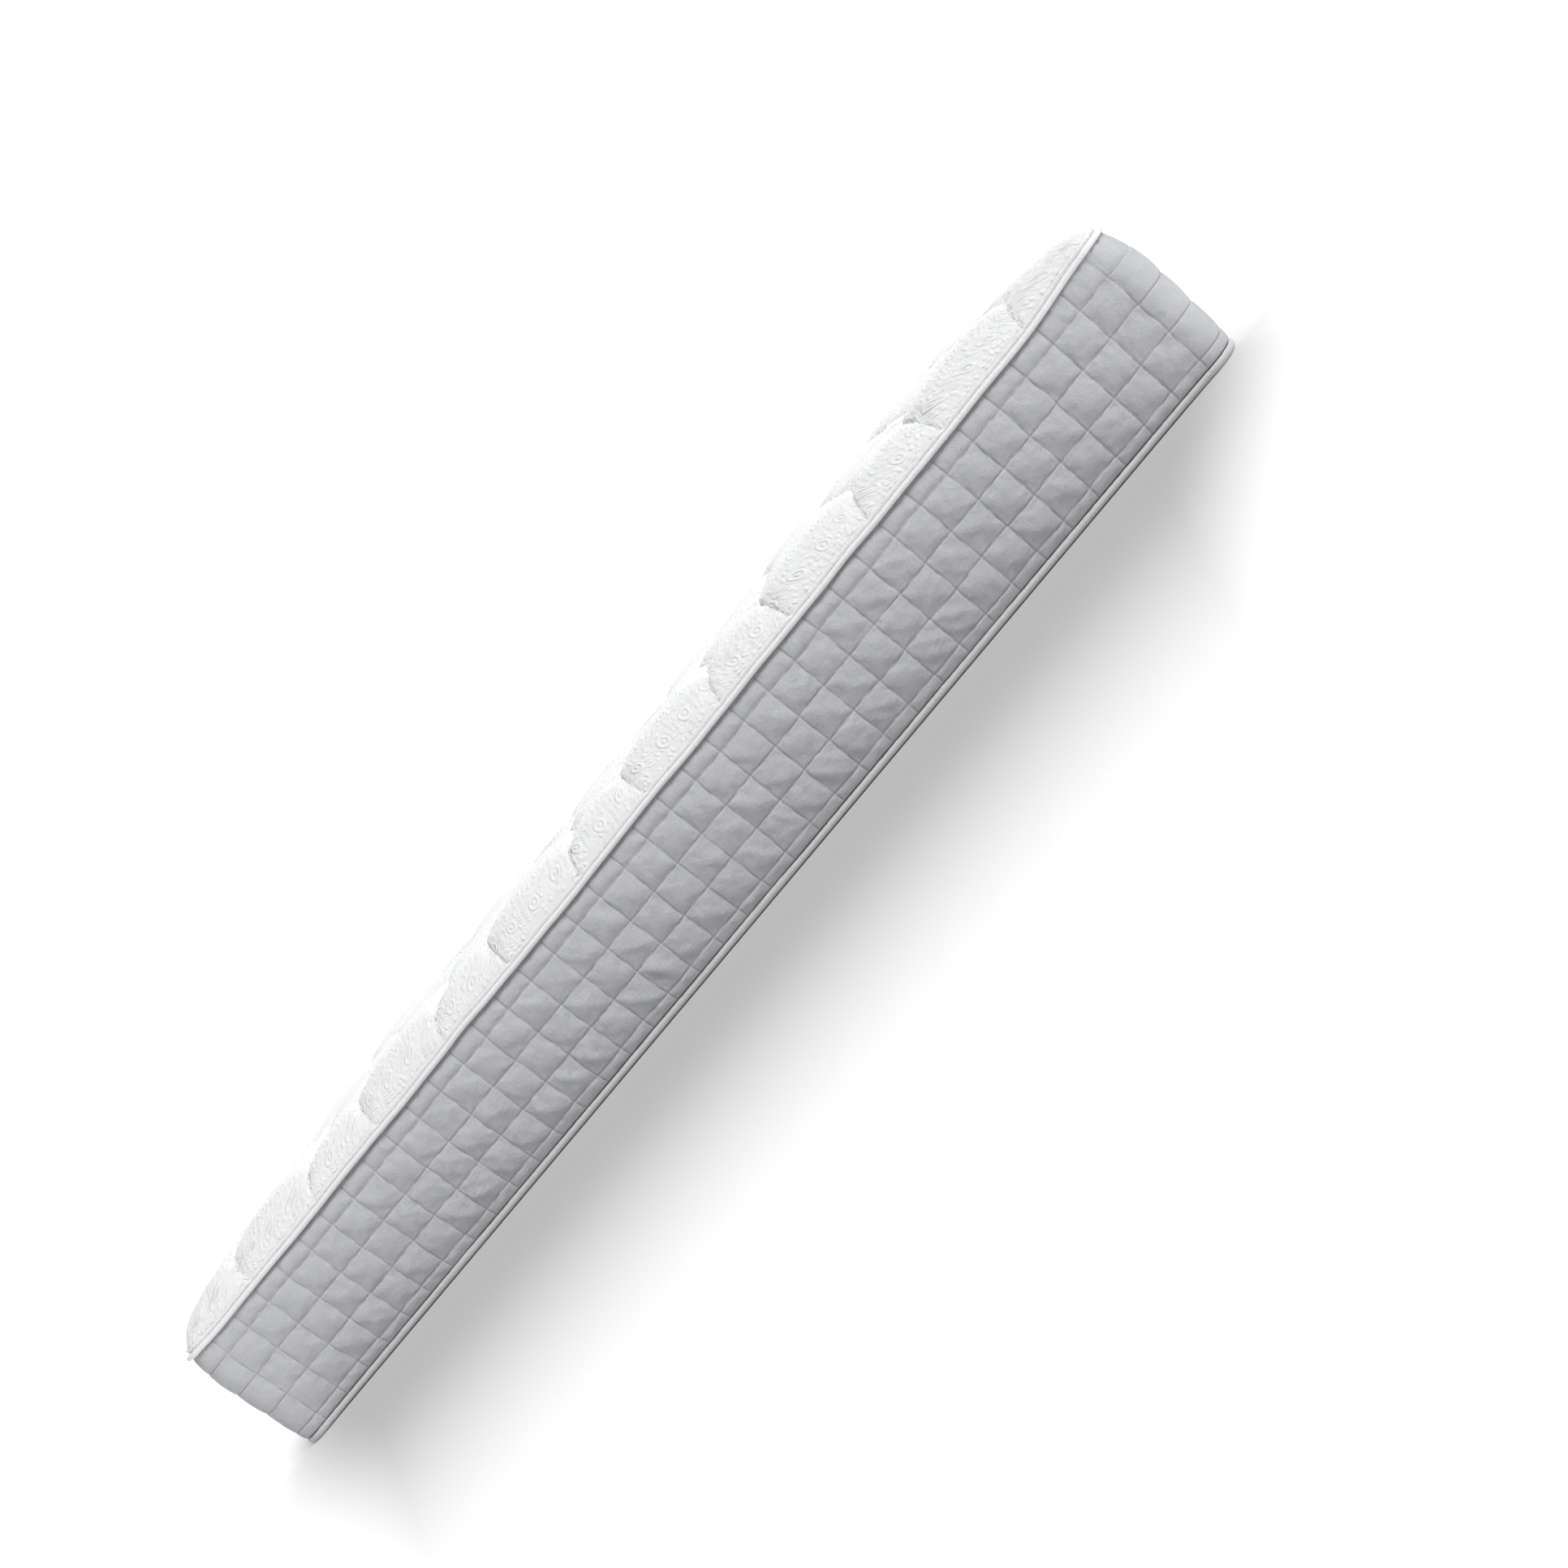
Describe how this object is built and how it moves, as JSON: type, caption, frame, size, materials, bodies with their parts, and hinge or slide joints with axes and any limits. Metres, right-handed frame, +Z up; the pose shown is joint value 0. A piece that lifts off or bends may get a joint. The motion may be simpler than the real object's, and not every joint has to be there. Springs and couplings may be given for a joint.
{
  "type": "memory foam mattress",
  "caption": "Single tape-edged memory foam mattress with a puffed quilted top, a square-quilted border and layered foam inside.",
  "frame": {"origin": "middle of the underside, on the plane that the mattress rests on", "axes": "+X along the length, towards the foot; +Y across the width; +Z up, from the underside to the sleeping surface"},
  "size_m": [2, 0.9, 0.26],
  "materials": {
    "top_ticking": "stretch knit with raised rings, matt, soft sheen",
    "border_ticking": "woven slub cloth, fine upright ribs, matt",
    "bottom_ticking": "plain woven cloth, matt",
    "binding_tape": "twill tape, fine slanting ribs, matt",
    "thread": "polyester sewing thread",
    "wadding": "loose polyester fibre",
    "nonwoven": "thin non-woven cloth",
    "sock_knit": "thin stretch knit, matt",
    "filler_cord": "twisted cotton",
    "memory_foam": "open-cell slow-recovery foam, matt",
    "transition_foam": "open-cell foam, matt",
    "support_foam": "high-density open-cell foam, matt"
  },
  "bodies": {
    "root": {"support_foam_core": "support_foam", "transition_foam_layer": "transition_foam", "memory_foam_layer": "memory_foam", "inner_sock": "sock_knit", "top_panel_backing": "nonwoven", "top_panel_wadding": "wadding", "top_panel_ticking": "top_ticking", "border_backing": "nonwoven", "border_wadding": "wadding", "border_ticking": "border_ticking", "bottom_panel_backing": "nonwoven", "bottom_panel_wadding": "wadding", "bottom_panel_ticking": "bottom_ticking", "top_binding_tape": "binding_tape", "bottom_binding_tape": "binding_tape", "top_filler_cord": "filler_cord", "bottom_filler_cord": "filler_cord", "top_tape_thread": "thread", "bottom_tape_thread": "thread", "border_quilt_thread": "thread", "top_quilt_thread": "thread"}
  },
  "joints": []
}
